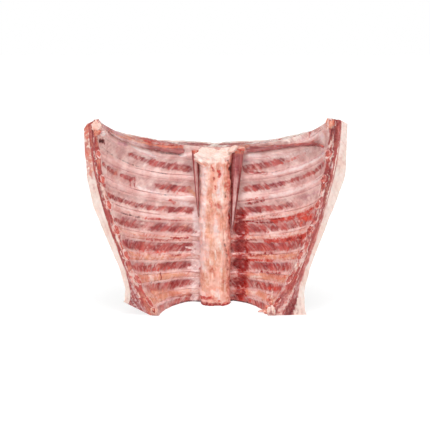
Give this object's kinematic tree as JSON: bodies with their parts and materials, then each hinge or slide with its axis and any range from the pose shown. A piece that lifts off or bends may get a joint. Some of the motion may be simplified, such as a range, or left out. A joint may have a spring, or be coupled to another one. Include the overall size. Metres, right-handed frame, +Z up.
{
  "type": "raw rack of lamb",
  "caption": "Unsplit raw rack of lamb: paired ribs curving from one backbone, lined with thin membrane over the meat, with fat over the back.",
  "frame": {"origin": "on the floor under the middle of the bounding box, with the piece standing on its neck-end cut", "axes": "+Z up towards the tail-end cut, -Y the open side of the chest, +Y the back with its fat, X from one sawn edge to the other"},
  "size_m": [0.3058, 0.127, 0.2416],
  "materials": {
    "bone": "damp backbone under a thin skin",
    "rib_bone": "ribs under moist membrane",
    "flesh": "moist raw meat",
    "fat": "firm pale fat",
    "dark_flesh": "moist dark meat"
  },
  "bodies": {
    "root": {"backbone": "bone", "flesh_left": "flesh", "flesh_right": "flesh", "fat_cover": "fat", "loin_strip_left": "dark_flesh", "loin_strip_right": "dark_flesh", "diaphragm_left": "dark_flesh", "diaphragm_right": "dark_flesh", "rib_left_1": "rib_bone", "rib_left_2": "rib_bone", "rib_left_3": "rib_bone", "rib_left_4": "rib_bone", "rib_left_5": "rib_bone", "rib_left_6": "rib_bone", "rib_left_7": "rib_bone", "rib_left_8": "rib_bone", "rib_right_1": "rib_bone", "rib_right_2": "rib_bone", "rib_right_3": "rib_bone", "rib_right_4": "rib_bone", "rib_right_5": "rib_bone", "rib_right_6": "rib_bone", "rib_right_7": "rib_bone", "rib_right_8": "rib_bone"}
  },
  "joints": []
}
